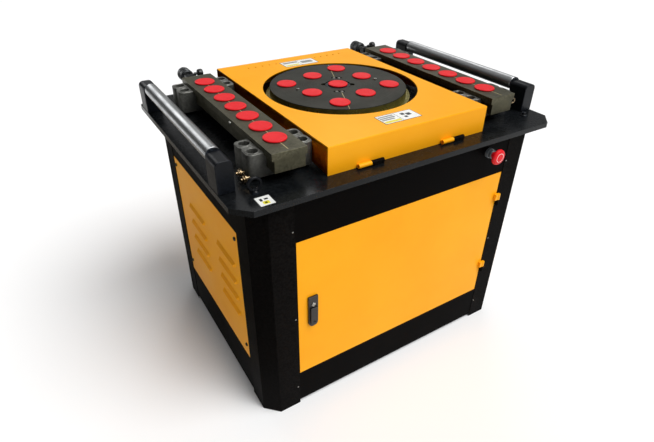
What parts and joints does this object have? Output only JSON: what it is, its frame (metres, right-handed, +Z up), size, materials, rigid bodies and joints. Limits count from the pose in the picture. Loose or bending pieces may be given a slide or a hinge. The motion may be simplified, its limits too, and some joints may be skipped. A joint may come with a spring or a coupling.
{
  "type": "rebar bender",
  "caption": "Floor-standing steel rebar bending bench: turntable with plugged pin sockets, sliding socket bars, side rollers and a louvred cabinet.",
  "frame": {"origin": "on the floor, under the middle of the whole bench's box", "axes": "X runs along the front, where the door is, -Y is the front, +Z is up"},
  "size_m": [1, 0.8246, 0.8215],
  "materials": {
    "yellow_enamel": "powder coat, semi-gloss amber yellow",
    "black_enamel": "semi-gloss black paint",
    "blackened_steel": "ground steel, chemically blackened, olive-brown",
    "cast_steel": "bare cast steel, oiled",
    "bright_steel": "ground and polished tube",
    "red_plastic": "moulded red plastic, satin",
    "black_plastic": "moulded black plastic",
    "belt_rubber": "matt rubber",
    "grey_enamel": "grey enamel"
  },
  "bodies": {
    "bench": {"left_louvre_panel": "yellow_enamel", "right_louvre_panel": "yellow_enamel", "rear_panel": "yellow_enamel", "table_plate": "black_enamel", "cabinet_frame": "black_enamel", "base_tray": "black_enamel", "left_cover_hinge": "black_enamel", "right_cover_hinge": "black_enamel", "lifting_eye": "black_enamel", "left_front_roller_bracket": "black_enamel", "left_rear_roller_bracket": "black_enamel", "right_front_roller_bracket": "black_enamel", "right_rear_roller_bracket": "black_enamel", "left_front_block": "cast_steel", "left_rear_block": "cast_steel", "right_front_block": "cast_steel", "right_rear_block": "cast_steel", "v_belt": "belt_rubber", "estop_collar": "grey_enamel", "gearbox_casing": "grey_enamel", "motor_body": "grey_enamel"},
    "disc": {"turntable_disc": "blackened_steel", "angle_ring": "blackened_steel", "main_gear_shaft": "cast_steel", "disc_plug_1": "red_plastic", "disc_plug_2": "red_plastic", "disc_plug_3": "red_plastic", "disc_plug_4": "red_plastic", "disc_plug_5": "red_plastic", "disc_plug_6": "red_plastic", "disc_plug_7": "red_plastic", "disc_plug_8": "red_plastic", "disc_plug_9": "red_plastic"},
    "input_shaft": {"input_pulley_shaft": "cast_steel"},
    "motor_rotor": {"motor_pulley": "cast_steel"},
    "door": {"door_panel": "yellow_enamel", "door_lock_housing": "black_plastic"},
    "door_lock": {"door_lock_paddle": "black_plastic"},
    "cover": {"cover_sheet": "yellow_enamel"},
    "stop_button": {"estop_button": "red_plastic"},
    "left_bar": {"left_socket_bar": "blackened_steel", "left_bar_plug_1": "red_plastic", "left_bar_plug_2": "red_plastic", "left_bar_plug_3": "red_plastic", "left_bar_plug_4": "red_plastic", "left_bar_plug_5": "red_plastic", "left_bar_plug_6": "red_plastic", "left_bar_plug_7": "red_plastic"},
    "right_bar": {"right_socket_bar": "blackened_steel", "right_bar_plug_1": "red_plastic", "right_bar_plug_2": "red_plastic", "right_bar_plug_3": "red_plastic", "right_bar_plug_4": "red_plastic", "right_bar_plug_5": "red_plastic", "right_bar_plug_6": "red_plastic", "right_bar_plug_7": "red_plastic"},
    "left_screw": {"left_feed_screw": "cast_steel"},
    "right_screw": {"right_feed_screw": "cast_steel"},
    "left_roller_tube": {"left_roller": "bright_steel"},
    "right_roller_tube": {"right_roller": "bright_steel"}
  },
  "joints": [
    {"name": "disc_spin", "type": "hinge", "parent": "bench", "child": "disc", "pos_m": [0, -0.0027, 0.736], "axis": [0, 0, 1], "continuous": true},
    {"name": "input_spin", "type": "hinge", "parent": "bench", "child": "input_shaft", "pos_m": [0.16, -0.0027, 0.6], "axis": [0, 0, 1], "continuous": true},
    {"name": "motor_spin", "type": "hinge", "parent": "bench", "child": "motor_rotor", "pos_m": [-0.15, -0.0027, 0.47], "axis": [0, 0, 1], "continuous": true},
    {"name": "door_swing", "type": "hinge", "parent": "bench", "child": "door", "pos_m": [0.3525, -0.3753, 0.36], "axis": [0, 0, 1], "range_deg": [0, 110]},
    {"name": "lock_lift", "type": "hinge", "parent": "door", "child": "door_lock", "pos_m": [-0.305, -0.3784, 0.3725], "axis": [-1, 0, 0], "range_deg": [0, 60]},
    {"name": "cover_tilt", "type": "hinge", "parent": "bench", "child": "cover", "pos_m": [0, -0.3577, 0.7428], "axis": [1, 0, 0], "range_deg": [0, 95]},
    {"name": "stop_press", "type": "slide", "parent": "bench", "child": "stop_button", "axis": [0, 1, 0], "range_m": [0, 0.005]},
    {"name": "left_bar_slide", "type": "slide", "parent": "bench", "child": "left_bar", "axis": [0, 1, 0], "range_m": [-0.015, 0.015]},
    {"name": "right_bar_slide", "type": "slide", "parent": "bench", "child": "right_bar", "axis": [0, 1, 0], "range_m": [-0.015, 0.015]},
    {"name": "left_screw_turn", "type": "hinge", "parent": "bench", "child": "left_screw", "pos_m": [-0.335, 0.3273, 0.786], "axis": [0, 1, 0], "range_deg": [-675, 675]},
    {"name": "right_screw_turn", "type": "hinge", "parent": "bench", "child": "right_screw", "pos_m": [0.335, 0.3273, 0.786], "axis": [0, 1, 0], "range_deg": [-675, 675]},
    {"name": "left_roller_spin", "type": "hinge", "parent": "bench", "child": "left_roller_tube", "pos_m": [-0.4785, 0, 0.8025], "axis": [0, 1, 0], "continuous": true},
    {"name": "right_roller_spin", "type": "hinge", "parent": "bench", "child": "right_roller_tube", "pos_m": [0.4785, 0, 0.8025], "axis": [0, 1, 0], "continuous": true}
  ],
  "couplings": [
    {"joint": "input_spin", "follows": "disc_spin", "ratio": -4},
    {"joint": "motor_spin", "follows": "disc_spin", "ratio": -10},
    {"joint": "left_screw_turn", "follows": "left_bar_slide", "rad_per_m": -785.4},
    {"joint": "right_screw_turn", "follows": "right_bar_slide", "rad_per_m": -785.4}
  ]
}
